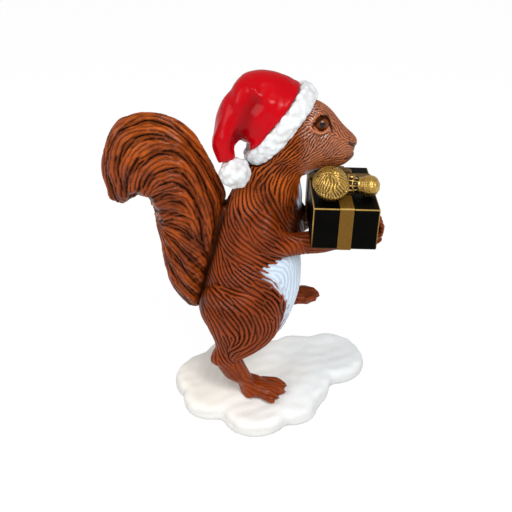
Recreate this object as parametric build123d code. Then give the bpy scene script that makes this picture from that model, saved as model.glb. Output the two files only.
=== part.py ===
from build123d import *
import math
import os

# Squirrel figurine with a red hat and a gift box, standing on one leg on a snow base.
# Millimetres. X points where the animal looks, Y to its left, Z up. The origin is the middle
# of the snow base's flat underside.

# Fits
glue_gap = 0.1  # round a dowel, on the radius
end_gap = 0.4  # past each end of a dowel
overrun = 5.0  # how far a cutting tool runs past what it cuts

ring_points = 12  # through which each section of a casting is drawn
lock_depth_share = 0.06  # how far the furrows between locks of hair lie in from a section's outline
seam_left, seam_front, seam_back = 0, 1, 3  # quarter turns from the left side to a section's seam

# Snow base
snow_reach = 150.0  # along X
snow_depth = 116.0  # along Y
snow_height = 13.0  # at the foot
snow_edge = 6.0  # rounding of the lobes' rims
# A lobe: place along X and Y, radius, as shares of the reach, depth and reach, and height share
snow_lobe_shares = [
    (0.00, 0.06, 0.300, 1.00),
    (-0.33, 0.07, 0.180, 0.94),
    (-0.31, -0.13, 0.142, 0.88),
    (-0.09, -0.245, 0.172, 1.00),
    (0.09, -0.190, 0.134, 0.92),
    (0.31, 0.28, 0.187, 0.94),
    (-0.20, 0.25, 0.175, 1.02),
    (0.12, 0.32, 0.140, 0.97),
]

# Steel rod through the standing leg, with its nut and washer under the base
rod_radius = 2.0
rod_bend = 9.0
rod_start = 2.0  # its lower end, above the table
rod_x = -17.0
rod_y = -21.0
hole_radius = 8.0  # counterbore under the base
hole_depth = 6.5
washer_radius = 6.0
washer_height = 1.2
nut_across = 7.0  # flats
nut_height = 3.2

# Body casting: torso, neck stump and standing leg
body_bottom = 52.0
body_height = 144.0
body_depth = 71.0
body_width = 54.0
# Ring: height, place forward of the origin as a share of the depth, half depth, half width
body_ring_shares = [
    (0.00, -0.290, 0.150, 0.180),
    (0.03, -0.290, 0.290, 0.320),
    (0.08, -0.295, 0.400, 0.430),
    (0.17, -0.290, 0.475, 0.485),
    (0.26, -0.262, 0.500, 0.500),
    (0.37, -0.228, 0.492, 0.500),
    (0.47, -0.205, 0.458, 0.472),
    (0.58, -0.205, 0.394, 0.426),
    (0.70, -0.183, 0.338, 0.380),
    (0.79, -0.134, 0.303, 0.335),
    (0.86, -0.078, 0.290, 0.305),
    (0.93, -0.014, 0.290, 0.296),
    (1.00, 0.042, 0.282, 0.278),
]
# Neck joint: height share on the body and the lean of its plane
neck_joint_share = 0.915
neck_lean = 14.0
# Flat seat down the back, for the tail
seat_x = -47.2
seat_z = 110.0
seat_lean = 13.5  # degrees, its top forward

# Standing leg, on the right side
leg_side = -21.0  # its middle plane
ankle_height = 2.0  # over the snow
leg_length = 97.0  # top of the thigh down to the ankle
thigh_depth = 57.0
thigh_width = 32.0
leg_back = -24.0  # middle of the thigh
# Ring: distance down, place forward, half depth, place outward, half width
thigh_ring_shares = [
    (0.00, 0.00, 0.150, 0.26, 0.20),
    (0.05, 0.00, 0.330, 0.20, 0.40),
    (0.13, 0.00, 0.455, 0.14, 0.48),
    (0.23, 0.00, 0.500, 0.10, 0.50),
    (0.36, 0.03, 0.465, 0.06, 0.485),
    (0.45, 0.04, 0.412, 0.03, 0.455),
    (0.53, 0.01, 0.333, 0.01, 0.406),
    (0.60, -0.07, 0.260, 0.00, 0.340),
    (0.66, -0.17, 0.210, 0.00, 0.280),
    (0.71, -0.22, 0.160, 0.00, 0.220),
]
shank_length = 38.0
shank_radius = 9.5
# Ring: place forward and down as shares of the length, half thickness and half width
shank_ring_shares = [
    (0.00, 0.00, 1.00, 0.84),
    (0.10, 0.24, 0.98, 0.80),
    (0.23, 0.50, 0.90, 0.76),
    (0.36, 0.76, 0.84, 0.80),
    (0.44, 0.96, 0.90, 0.86),
]
shank_x = -35.0
shank_rise_share = 0.361  # its upper end's height over the ankle, of the leg's length

# Paws, used for the standing foot and the raised one
foot_length = 27.0
foot_half_width = 8.5
foot_half_height = 6.6
# Ring: distance forward, rise of its middle over the sole, half height, half width
foot_ring_shares = [
    (0.00, 0.62, 0.55, 0.60),
    (0.08, 0.78, 0.84, 0.86),
    (0.34, 0.92, 1.00, 0.94),
    (0.68, 0.74, 0.92, 1.04),
    (1.00, 0.50, 0.70, 1.00),
    (1.10, 0.40, 0.40, 0.70),
]
toe_length = 12.0
toe_radius = 3.0
toe_count = 4
toe_spread = 11.0  # degrees from one toe to the next
toe_start_share = 0.78
toe_ring_shares = [(0.00, 1.00, 0.80), (0.40, 1.10, 1.00), (0.75, 0.90, 0.92), (0.98, 0.45, 0.45)]
foot_x = -26.0
foot_y = -14.0
foot_turn = -22.0

# Raised leg, on the left side
raised_side = 21.0
raised_thigh_length = 34.0
raised_thigh_radius = 18.0
raised_thigh_shares = [
    (0.00, 0.00, 0.55),
    (0.12, 0.00, 0.84),
    (0.35, 0.00, 1.00),
    (0.65, 0.02, 0.88),
    (0.90, 0.00, 0.62),
    (1.00, -0.03, 0.34),
]
raised_hip_x = -22.0
raised_hip_z = 88.0
raised_shank_length = 16.0
raised_shank_radius = 8.5
raised_shank_shares = [(0.00, 0.90), (0.30, 1.00), (0.70, 0.84), (1.00, 0.66)]
raised_knee_x = 7.0
raised_knee_z = 87.0
raised_shank_heading = -105.0
raised_foot_x = 0.5
raised_foot_z = 65.0
raised_foot_lift = 11.0  # degrees, toes up

# Head
head_back = -20.0
head_length = 72.0
head_height = 52.0
head_width = 38.0
head_level = 208.0
# Ring: distance forward, rise of its middle, half height, half width
head_ring_shares = [
    (0.000, 0.04, 0.15, 0.18),
    (0.042, 0.04, 0.27, 0.32),
    (0.140, 0.03, 0.39, 0.43),
    (0.280, 0.01, 0.47, 0.485),
    (0.420, 0.00, 0.500, 0.500),
    (0.530, -0.02, 0.490, 0.475),
    (0.625, 0.00, 0.446, 0.420),
    (0.708, -0.02, 0.404, 0.363),
    (0.792, -0.07, 0.340, 0.290),
    (0.861, -0.12, 0.273, 0.237),
    (0.930, -0.135, 0.195, 0.190),
    (0.979, -0.130, 0.120, 0.140),
    (1.000, -0.115, 0.060, 0.085),
]
eye_radius = 5.8
eye_x = 26.4
eye_y = 8.4
eye_z = 218.9

# Hat
brim_x = 2.0
brim_z = 215.7
brim_lean = 51.0  # degrees from the vertical to the hat's axis, backwards
brim_length = 65.0
brim_width = 48.0
brim_height = 14.0
brim_edge = 5.0
cap_reach = 34.0
cap_length = 53.0
cap_width = 41.0
# Crown ring: place back from the brim, rise from the pompom over to the brim, half length,
# half width, sideways drift as a share of the pompom's, heading in degrees
cap_ring_shares = [
    (0.000, 1.00, 0.504, 0.500, 0.00, 141.0),
    (0.235, 1.35, 0.464, 0.500, 0.00, 153.0),
    (0.463, 1.42, 0.453, 0.488, 0.00, 164.0),
    (0.682, 1.40, 0.410, 0.445, 0.03, 177.0),
    (0.845, 1.24, 0.300, 0.365, 0.08, 188.0),
]
# Ring of the hanging tip: place back, rise, sideways drift, radius
cap_tip_shares = [
    (0.450, 1.55, 0.03, 0.200),
    (0.650, 1.46, 0.10, 0.330),
    (0.860, 1.10, 0.26, 0.300),
    (1.010, 0.76, 0.48, 0.215),
    (1.055, 0.54, 0.72, 0.168),
    (1.015, 0.33, 0.92, 0.137),
    (0.926, 0.17, 1.00, 0.112),
]
pompom_radius = 10.5
pompom_x = -27.5
pompom_y = -14.0
pompom_z = 189.0

# Tail
tail_reach = 82.0  # along X
tail_height = 150.0
tail_breadth = 60.0  # seen from the side
tail_width = 41.0
tail_back = -115.0  # furthest back
tail_bottom = 75.0
tail_locks = 8  # thick locks of hair around the brush
# Ring: place forward of the furthest back, height, half breadth, half width, heading
tail_ring_shares = [
    (0.700, 0.030, 0.060, 0.120, 90.0),
    (0.680, 0.100, 0.165, 0.250, 90.0),
    (0.660, 0.200, 0.245, 0.350, 90.0),
    (0.675, 0.333, 0.310, 0.425, 91.0),
    (0.693, 0.467, 0.372, 0.475, 95.0),
    (0.700, 0.570, 0.418, 0.500, 102.0),
    (0.655, 0.647, 0.413, 0.500, 109.0),
    (0.580, 0.713, 0.437, 0.490, 125.0),
    (0.488, 0.767, 0.477, 0.475, 143.0),
    (0.364, 0.793, 0.485, 0.450, 162.0),
    (0.240, 0.785, 0.440, 0.390, 177.0),
]
# Ring of the curled tip: place forward, height, half breadth, half width
tail_tip_shares = [
    (0.400, 0.812, 0.420, 0.430),
    (0.290, 0.783, 0.385, 0.400),
    (0.215, 0.730, 0.300, 0.320),
    (0.168, 0.662, 0.212, 0.235),
    (0.145, 0.607, 0.120, 0.140),
    (0.134, 0.572, 0.045, 0.060),
]

# Gift box
gift_length = 42.0  # along X
gift_depth = 67.0  # along Y
gift_height = 28.5
gift_edge = 0.9
gift_x = 43.0  # middle
gift_y = -2.5
gift_z = 144.7  # underside
gift_pitch = 1.6  # degrees, front end down
ribbon_width = 8.8
ribbon_height = 0.8
ribbon_cross = 16.5  # the cross band's place past the middle of the box, to the left
bow_loop = 7.5
bow_loop_height = 4.6
bow_width = 5.0
bow_thickness = 1.0
bow_knot = 3.2

# Nuts on the lid
walnut_radius = 11.0
walnut_half_height = 10.2
walnut_rim = 0.8  # the seam's rise
walnut_rim_width = 2.2
walnut_rim_edge = 0.7
walnut_x = 33.2
walnut_y = -18.0
walnut_lean = 14.0
peanut_length = 27.0
peanut_radius = 7.0
# Ring: distance along, radius
peanut_ring_shares = [
    (0.00, 0.30),
    (0.05, 0.60),
    (0.15, 0.87),
    (0.27, 0.94),
    (0.40, 0.86),
    (0.50, 0.76),
    (0.60, 0.84),
    (0.74, 1.00),
    (0.87, 0.90),
    (0.96, 0.58),
    (1.00, 0.28),
]
peanut_x = 38.5  # its blunt end
peanut_y = -12.5
peanut_turn = -9.0

# Arms
arm_radius = 9.0
right_arm_reach = 82.0
left_arm_reach = 56.0
arm_start = -11.0
arm_level = 138.0
arm_side = 15.0
# Ring: reach, rise and side place in arm radii, half thickness and half width
right_arm_shares = [
    (0.00, 2.30, 0.80, 0.75, 0.70),
    (0.02, 1.80, 1.10, 1.15, 0.95),
    (0.05, 1.05, 1.25, 1.22, 1.05),
    (0.12, 0.30, 1.25, 1.08, 0.98),
    (0.25, -0.08, 1.10, 0.92, 0.86),
    (0.44, 0.02, 0.96, 0.90, 0.80),
    (0.63, 0.15, 0.92, 0.70, 0.78),
    (0.80, 0.20, 0.88, 0.60, 0.74),
    (0.91, 0.22, 0.84, 0.56, 0.74),
    (0.965, 0.62, 0.82, 0.56, 0.76),
    (0.98, 1.20, 0.80, 0.50, 0.74),
    (0.975, 1.72, 0.80, 0.42, 0.64),
    (0.965, 2.05, 0.80, 0.24, 0.44),
]
left_arm_shares = [
    (0.00, 2.30, 0.80, 0.75, 0.70),
    (0.03, 1.80, 1.10, 1.15, 0.95),
    (0.08, 1.05, 1.25, 1.22, 1.05),
    (0.18, 0.30, 1.25, 1.08, 0.98),
    (0.36, -0.08, 1.22, 0.92, 0.86),
    (0.60, 0.05, 1.36, 0.86, 0.80),
    (0.80, 0.08, 1.90, 0.78, 0.78),
    (0.92, 0.35, 2.33, 0.74, 0.62),
    (0.96, 1.05, 2.42, 0.76, 0.54),
    (0.97, 1.70, 2.40, 0.70, 0.48),
    (0.97, 2.20, 2.36, 0.46, 0.32),
]

# Dowels that carry the castings on each other
neck_dowel_radius = 3.0
neck_dowel_length = 26.0
tail_dowel_radius = 2.5
tail_dowel_length = 18.0
tail_dowel_rings = (4, 6)  # rings of the torso that they stand at
arm_dowel_radius = 1.5
arm_dowel_length = 8.0
arm_dowel_x = -7.0
arm_dowel_y = 21.6
arm_dowel_z = 146.0
hip_dowel_radius = 2.5
hip_dowel_length = 34.0
hip_dowel_x = -14.0
hat_dowel_radius = 2.5
hat_dowel_length = 27.0
pompom_pin_radius = 1.2
pompom_pin_length = 9.0
pompom_pin_heading = 114.0
gift_pin_radius = 1.5
gift_pin_length = 8.0
gift_pin_x = 30.0
gift_pin_right = -14.2
gift_pin_left = 24.0
nut_pin_radius = 1.2
nut_pin_length = 7.0


def ellipse_ring(centre, forward, half_across, half_wide, seam=seam_left, locks=0):
    """A smooth elliptical section at a point of a limb's middle line, lobed where it has locks of hair."""
    plane = Plane(origin=centre, x_dir=(0, 1, 0), z_dir=forward)
    count = 2 * locks or ring_points
    points = []
    for number in range(count):
        turn = 2 * math.pi * (number / count + seam / 4)
        reach = 1 - lock_depth_share * (number % 2 if locks else 0)
        points.append((reach * half_wide * math.cos(turn), reach * half_across * math.sin(turn)))
    return plane * make_face(Spline(points, periodic=True))


def heading(degrees):
    """The direction in the animal's middle plane at an angle above straight ahead."""
    turn = math.radians(degrees)
    return Vector(math.cos(turn), 0, math.sin(turn))


def limb(rings, seam=seam_left, locks=0):
    """A smooth casting through elliptical sections. A ring is a point, half thickness, half width."""
    points = [Vector(*ring[0]) for ring in rings]
    last = len(points) - 1
    sections = []
    for index, (_, half_across, half_wide) in enumerate(rings):
        forward = points[min(index + 1, last)] - points[max(index - 1, 0)]
        sections.append(ellipse_ring(points[index], forward, half_across, half_wide, seam, locks))
    return loft(sections)


def stump(rings):
    """A casting through level ellipses. A ring is a point, half depth, half width."""
    return loft([ellipse_ring(point, (0, 0, 1), depth, width) for point, depth, width in rings])


def make_ball(radius, half_height):
    """A ball flattened along Z."""
    return scale(Sphere(radius), by=(1, 1, half_height / radius))


def dowel(middle, along, radius, length):
    """A round pin with its middle at a point."""
    return Plane(origin=middle, z_dir=along) * Cylinder(radius, length)


def dowel_hole(middle, along, radius, length):
    """The hole that a dowel is glued in."""
    return dowel(middle, along, radius + glue_gap, length + 2 * end_gap)


def keep_largest(shape):
    """The main solid of a cut, without the chips beyond it."""
    return max(shape.solids(), key=lambda solid: solid.volume)


def above_snow(shape):
    """A shape cut flat where it stands on the snow."""
    size = snow_reach + snow_depth
    ground = Pos(0, 0, snow_height - size / 2) * Box(size, size, size)
    return shape - ground


# Snow base


def make_snow_base():
    base = None
    for along, across, radius, height in snow_lobe_shares:
        lobe = Cylinder(
            radius * snow_reach,
            height * snow_height,
            align=(Align.CENTER, Align.CENTER, Align.MIN),
        )
        lobe = fillet(lobe.edges().group_by(Axis.Z)[-1], snow_edge)
        lobe = Pos(along * snow_reach, across * snow_depth, 0) * lobe
        base = lobe if base is None else base + lobe
    recess = Cylinder(hole_radius, hole_depth, align=(Align.CENTER, Align.CENTER, Align.MIN))
    bore = Cylinder(rod_radius + glue_gap, snow_height + overrun)
    return base - Pos(rod_x, rod_y, 0) * recess - Pos(rod_x, rod_y, snow_height / 2) * bore


def leg_level(share):
    """The height at a share of the standing leg's length over its ankle."""
    return snow_height + ankle_height + share * leg_length


def make_leg_rod(gap):
    """A steel rod bent to follow the leg, from under the base into the thigh."""
    hock = (shank_x + rod_radius, leg_side, leg_level(shank_rise_share) - rod_radius)
    ankle = (rod_x, rod_y, snow_height + foot_half_height)
    path = FilletPolyline(
        (rod_x, rod_y, rod_start),
        ankle,
        hock,
        (leg_back, leg_side, leg_level(1) - thigh_depth / 2),
        radius=rod_bend,
    )
    section = Plane(origin=path @ 0, z_dir=path % 0) * Circle(rod_radius + gap)
    return sweep(section, path=path)


def make_rod_washer():
    washer = Cylinder(washer_radius, washer_height) - Cylinder(rod_radius + glue_gap, snow_height)
    return Pos(rod_x, rod_y, hole_depth - washer_height / 2) * washer


def make_rod_nut():
    hexagon = RegularPolygon(nut_across / 2, 6, major_radius=False)
    nut = extrude(hexagon, nut_height) - Cylinder(rod_radius + glue_gap, snow_height)
    return Pos(rod_x, rod_y, hole_depth - washer_height - nut_height) * nut


# Squirrel


def make_paw():
    """A paw along +X with its sole at zero height and its heel at the origin."""
    rings = [
        ((along * foot_length, 0, rise * foot_half_height), high * foot_half_height, wide * foot_half_width)
        for along, rise, high, wide in foot_ring_shares
    ]
    paw = limb(rings)
    for number in range(toe_count):
        step = number - (toe_count - 1) / 2
        toe_rings = [
            ((along * toe_length, 0, rise * toe_radius), thick * toe_radius, thick * toe_radius)
            for along, rise, thick in toe_ring_shares
        ]
        side = step * 2 * foot_half_width / toe_count
        place = Pos(toe_start_share * foot_length, side, 0) * Rot(0, 0, step * toe_spread)
        paw += place * limb(toe_rings)
    return paw


def make_torso():
    rings = []
    for rise, forward, depth, width in body_ring_shares:
        point = (forward * body_depth, 0, body_bottom + rise * body_height)
        rings.append((point, depth * body_depth, width * body_width))
    return stump(rings)


def make_standing_leg():
    rings = []
    for down, forward, depth, outward, width in thigh_ring_shares:
        point = (
            leg_back + forward * thigh_depth,
            leg_side + outward * thigh_width,
            leg_level(1 - down),
        )
        rings.append((point, depth * thigh_depth, width * thigh_width))
    thigh = stump(rings)
    shank_rings = []
    for forward, down, thick, wide in shank_ring_shares:
        level = leg_level(shank_rise_share) - down * shank_length
        point = (shank_x + forward * shank_length, leg_side, level)
        shank_rings.append((point, thick * shank_radius, wide * shank_radius))
    shank = limb(shank_rings)
    paw = Pos(foot_x, foot_y, snow_height) * Rot(0, 0, foot_turn) * make_paw()
    return above_snow(thigh + shank + paw)


def neck_plane():
    """The joint between neck and head, square to the neck."""
    level = body_bottom + neck_joint_share * body_height
    forward = -0.03 * body_depth
    return Plane(origin=(forward, 0, level), x_dir=(0, 1, 0), z_dir=heading(90 - neck_lean))


def make_raised_leg():
    thigh_rings = []
    for along, rise, thick in raised_thigh_shares:
        point = (
            raised_hip_x + along * raised_thigh_length,
            raised_side,
            raised_hip_z + rise * raised_thigh_length,
        )
        thigh_rings.append((point, thick * raised_thigh_radius, thick * thigh_width / 2))
    down = heading(raised_shank_heading)
    shank_rings = []
    for along, thick in raised_shank_shares:
        point = Vector(raised_knee_x, raised_side, raised_knee_z) + down * along * raised_shank_length
        shank_rings.append((point, thick * raised_shank_radius, thick * raised_shank_radius))
    paw = Pos(raised_foot_x, raised_side, raised_foot_z) * Rot(0, -raised_foot_lift, 0) * make_paw()
    return limb(thigh_rings) + limb(shank_rings) + paw


def make_arm(shares, reach, side):
    rings = []
    for along, rise, outward, thick, wide in shares:
        point = (
            arm_start + along * reach,
            side * outward * arm_side,
            arm_level + rise * arm_radius,
        )
        rings.append((point, thick * arm_radius, wide * arm_radius))
    return limb(rings)


def make_skull():
    sections = []
    for along, rise, high, wide in head_ring_shares:
        point = (head_back + along * head_length, 0, head_level + rise * head_height)
        sections.append(ellipse_ring(point, (1, 0, 0), high * head_height, wide * head_width))
    return loft(sections)


def make_eye(side):
    return Pos(eye_x, side * eye_y, eye_z) * Sphere(eye_radius)


def tail_point(forward, rise):
    return (tail_back + forward * tail_reach, 0, tail_bottom + rise * tail_height)


def make_tail():
    """The brush, rising up the back and curling over into its tip."""
    sections = []
    for forward, rise, half, wide, degrees in tail_ring_shares:
        centre = tail_point(forward, rise)
        breadth = half * tail_breadth
        sections.append(ellipse_ring(centre, heading(degrees), breadth, wide * tail_width, seam_back, tail_locks))
    rings = []
    for forward, rise, half, wide in tail_tip_shares:
        rings.append((tail_point(forward, rise), half * tail_breadth, wide * tail_width))
    return loft(sections) + limb(rings, seam_front, tail_locks)


# Hat


def hat_axis():
    return heading(90 + brim_lean)


def make_brim():
    plane = Plane(origin=(brim_x, 0, brim_z), x_dir=(0, 1, 0), z_dir=hat_axis())
    disc = extrude(Ellipse(brim_width / 2, brim_length / 2), brim_height / 2, both=True)
    disc = fillet(disc.edges(), brim_edge)
    return plane * disc


def cap_point(back, rise, drift):
    return (brim_x - back * cap_reach, drift * pompom_y, pompom_z + rise * (brim_z - pompom_z))


def make_cap():
    """The crown, folded over at the back into the tip that hangs down to the pompom."""
    sections = []
    for back, rise, half, wide, drift, degrees in cap_ring_shares:
        centre = cap_point(back, rise, drift)
        length = half * cap_length
        sections.append(ellipse_ring(centre, heading(degrees), length, wide * cap_width, seam_back))
    rings = []
    for back, rise, drift, radius in cap_tip_shares:
        rings.append((cap_point(back, rise, drift), radius * cap_width, radius * cap_width))
    return loft(sections) + limb(rings, seam_front)


def make_pompom():
    return Pos(pompom_x, pompom_y, pompom_z) * Sphere(pompom_radius)


# Gift


def place_gift(shape):
    """Puts a piece drawn round the middle of the box's underside in the animal's arms."""
    return Pos(gift_x, gift_y, gift_z) * Rot(0, gift_pitch, 0) * shape


def make_gift_box():
    box = Box(gift_length, gift_depth, gift_height, align=(Align.CENTER, Align.CENTER, Align.MIN))
    return place_gift(fillet(box.edges(), gift_edge))


def band(length, height, width):
    """A flat band wrapped round a box end to end, with its edges softened by the wrap's own bend."""
    outer = Rectangle(length + 2 * ribbon_height, height + 2 * ribbon_height)
    outer = fillet(outer.vertices(), gift_edge + ribbon_height)
    inner = fillet(Rectangle(length, height).vertices(), gift_edge)
    return extrude(outer - inner, width / 2, both=True)


def make_ribbon():
    lift = Pos(0, 0, gift_height / 2)
    lengthwise = lift * (Plane.YZ * band(gift_depth, gift_height, ribbon_width))
    crosswise = Pos(0, ribbon_cross, 0) * lift * (Plane.XZ * band(gift_length, gift_height, ribbon_width))
    return place_gift(lengthwise + crosswise)


def make_bow():
    """Two flattened loops and a knot where the bands cross."""
    centre_height = bow_loop_height / 2
    outer = Ellipse(bow_loop / 2, centre_height)
    inner = Ellipse(bow_loop / 2 - bow_thickness, centre_height - bow_thickness)
    loop = Plane.XZ * extrude(outer - inner, bow_width / 2, both=True)
    bow = Box(bow_knot, bow_width, bow_knot, align=(Align.CENTER, Align.CENTER, Align.MIN))
    bow = fillet(bow.edges(), bow_thickness)
    for side in (1, -1):
        bow += Pos(side * (bow_loop / 2 + bow_thickness / 2), 0, centre_height) * loop
    return place_gift(Pos(0, ribbon_cross, gift_height + ribbon_height) * bow)


def make_walnut():
    """Two shell halves with the raised seam between them, lying on the lid."""
    rim = Cylinder(walnut_radius + walnut_rim, walnut_rim_width)
    nut = make_ball(walnut_radius, walnut_half_height) + fillet(rim.edges(), walnut_rim_edge)
    lift = gift_height + walnut_half_height
    placed = Pos(walnut_x - gift_x, walnut_y - gift_y, lift) * Rot(walnut_lean, 0, 0) * nut
    return place_gift(placed)


def make_peanut():
    """A waisted pod lying on its side."""
    sections = [
        Plane(origin=(along * peanut_length, 0, 0), z_dir=(1, 0, 0)) * Circle(radius * peanut_radius)
        for along, radius in peanut_ring_shares
    ]
    lift = gift_height + peanut_radius
    placed = Pos(peanut_x - gift_x, peanut_y - gift_y, lift) * Rot(0, 0, peanut_turn) * loft(sections)
    return place_gift(placed)


# Joining


def beyond_neck():
    """The room above the neck joint."""
    size = 2 * body_height
    return neck_plane() * Box(size, size, size, align=(Align.CENTER, Align.CENTER, Align.MIN))


def behind_seat():
    """The room behind the flat seat on the back."""
    size = 2 * body_height
    plane = Plane(origin=(seat_x, 0, seat_z), x_dir=(0, 1, 0), z_dir=heading(180 - seat_lean))
    return plane * Box(size, size, size, align=(Align.CENTER, Align.CENTER, Align.MIN))


def dowel_places():
    """For each set of dowels: radius, length and a list of middles with directions."""
    neck = neck_plane()
    tail = []
    for index in tail_dowel_rings:
        rise, forward, depth, _ = body_ring_shares[index]
        back = (forward - depth) * body_depth
        tail.append(((back, 0, body_bottom + rise * body_height), (1, 0, 0)))
    arms = [((arm_dowel_x, side * arm_dowel_y, arm_dowel_z), (0, 1, 0)) for side in (-1, 1)]
    up = heading(pompom_pin_heading)
    pompom = Vector(pompom_x, pompom_y, pompom_z) + up * pompom_radius
    lid = gift_z + gift_height
    peanut_along = 0.74 * peanut_length
    turn = math.radians(peanut_turn)
    walnut = (walnut_x, walnut_y, lid)
    peanut = (
        peanut_x + peanut_along * math.cos(turn),
        peanut_y + peanut_along * math.sin(turn),
        lid,
    )
    upright = (0, 0, 1)
    return {
        "neck_dowel": (neck_dowel_radius, neck_dowel_length, [(neck.origin, neck.z_dir)]),
        "tail_dowels": (tail_dowel_radius, tail_dowel_length, tail),
        "arm_dowels": (arm_dowel_radius, arm_dowel_length, arms),
        "hip_dowel": (
            hip_dowel_radius,
            hip_dowel_length,
            [((hip_dowel_x, 0, raised_hip_z), (0, 1, 0))],
        ),
        "hat_dowel": (hat_dowel_radius, hat_dowel_length, [((brim_x, 0, brim_z), hat_axis())]),
        "pompom_pin": (pompom_pin_radius, pompom_pin_length, [(pompom, up)]),
        "gift_pins": (
            gift_pin_radius,
            gift_pin_length,
            [((gift_pin_x, y, gift_z), upright) for y in (gift_pin_right, gift_pin_left)],
        ),
        "nut_pins": (nut_pin_radius, nut_pin_length, [(walnut, upright), (peanut, upright)]),
    }


# The pieces that each set of dowels is glued into
dowelled = {
    "neck_dowel": ("torso", "head"),
    "tail_dowels": ("torso", "tail"),
    "arm_dowels": ("torso", "right_arm", "left_arm"),
    "hip_dowel": ("torso", "standing_leg", "raised_leg"),
    "hat_dowel": ("head", "hat_brim", "hat_crown"),
    "pompom_pin": ("hat_crown", "pompom"),
    "gift_pins": ("gift_box", "right_arm", "left_arm"),
    "nut_pins": ("gift_box", "walnut", "peanut"),
}


def make_castings():
    """The castings by name, cut to sit against what carries them."""
    trunk = make_torso()
    standing_leg = make_standing_leg()
    raised_leg = make_raised_leg()
    gift_box = make_gift_box()
    ribbon = make_ribbon()
    brim = make_brim()
    pompom = make_pompom()
    right_eye = make_eye(-1)
    left_eye = make_eye(1)
    walnut = make_walnut() - gift_box - ribbon
    room = beyond_neck()
    back_room = behind_seat()
    head = (make_skull() + trunk) & room
    load = gift_box + ribbon
    castings = {
        "snow_base": make_snow_base(),
        "standing_leg": standing_leg - make_leg_rod(glue_gap),
        "raised_leg": raised_leg,
        "torso": trunk - room - back_room - standing_leg - raised_leg,
        "tail": make_tail() & back_room,
        "head": keep_largest(head - brim) - right_eye - left_eye,
        "right_eye": right_eye,
        "left_eye": left_eye,
        "hat_brim": brim,
        "hat_crown": keep_largest(make_cap() - brim - pompom),
        "pompom": pompom,
        "gift_box": gift_box,
        "gift_ribbon": ribbon,
        "ribbon_bow": make_bow(),
        "walnut": walnut,
        "peanut": make_peanut() - walnut - gift_box - ribbon,
    }
    for name, shares, reach, side in (
        ("right_arm", right_arm_shares, right_arm_reach, -1),
        ("left_arm", left_arm_shares, left_arm_reach, 1),
    ):
        castings[name] = keep_largest(make_arm(shares, reach, side) - trunk - load)
    return castings


def make_figurine():
    """Every piece by its name."""
    pieces = make_castings()
    pieces["leg_rod"] = make_leg_rod(0)
    pieces["rod_washer"] = make_rod_washer()
    pieces["rod_nut"] = make_rod_nut()
    for name, (radius, length, places) in dowel_places().items():
        for middle, along in places:
            hole = dowel_hole(middle, along, radius, length)
            for piece in dowelled[name]:
                pieces[piece] = pieces[piece] - hole
        pins = [dowel(middle, along, radius, length) for middle, along in places]
        pieces[name] = pins[0] if len(pins) == 1 else Compound(children=pins)
    return pieces


os.makedirs("parts", exist_ok=True)
for name, piece in make_figurine().items():
    piece.label = name
    export_step(piece, f"parts/{name}.step")
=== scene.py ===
from math import cos, pi, radians, sin, sqrt
import bmesh
import bpy
import numpy as np
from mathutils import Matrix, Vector
from mathutils.kdtree import KDTree


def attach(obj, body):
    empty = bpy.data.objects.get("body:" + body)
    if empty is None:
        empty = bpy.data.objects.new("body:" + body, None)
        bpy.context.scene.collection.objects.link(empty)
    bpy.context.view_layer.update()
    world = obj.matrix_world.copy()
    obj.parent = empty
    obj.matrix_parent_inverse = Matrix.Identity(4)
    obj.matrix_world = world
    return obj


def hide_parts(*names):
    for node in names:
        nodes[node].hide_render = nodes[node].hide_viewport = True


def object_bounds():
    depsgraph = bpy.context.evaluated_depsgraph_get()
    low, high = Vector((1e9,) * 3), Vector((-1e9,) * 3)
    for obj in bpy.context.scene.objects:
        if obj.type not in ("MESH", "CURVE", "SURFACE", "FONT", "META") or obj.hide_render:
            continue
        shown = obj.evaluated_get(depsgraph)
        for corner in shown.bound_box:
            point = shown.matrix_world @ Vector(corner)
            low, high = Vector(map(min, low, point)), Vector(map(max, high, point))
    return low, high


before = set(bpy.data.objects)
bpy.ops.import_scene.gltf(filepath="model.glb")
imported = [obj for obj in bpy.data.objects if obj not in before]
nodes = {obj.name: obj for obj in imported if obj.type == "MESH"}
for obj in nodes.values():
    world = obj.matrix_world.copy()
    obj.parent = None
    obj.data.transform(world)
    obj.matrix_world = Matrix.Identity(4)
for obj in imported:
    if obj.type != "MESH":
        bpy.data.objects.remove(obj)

# A squirrel figurine in a red hat, which carries a gift box over a snow base.
# Guide lines are in millimetres, as x and z seen from the side. Values times mm are in metres.

mm = 0.001
cadLow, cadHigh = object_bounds()
quickCoarser = 1.0
print("frame loaded,", len(nodes), "nodes")


# Meshes

def newObject(name, data):
    made = bpy.data.objects.new(name, data)
    bpy.context.scene.collection.objects.link(made)
    return made


def meshObject(name, work):
    mesh = bpy.data.meshes.new(name)
    work.to_mesh(mesh)
    work.free()
    return newObject(name, mesh)


def copyOfNodes(name, sources, tubes=()):
    # the nodes' meshes and some tubes of their own, in one object
    work = bmesh.new()
    for source in sources:
        work.from_mesh(nodes[source].data)
    bmesh.ops.remove_doubles(work, verts=work.verts, dist=1e-6)
    for stations in tubes:
        addTube(work, stations)
    return meshObject(name, work)


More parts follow.
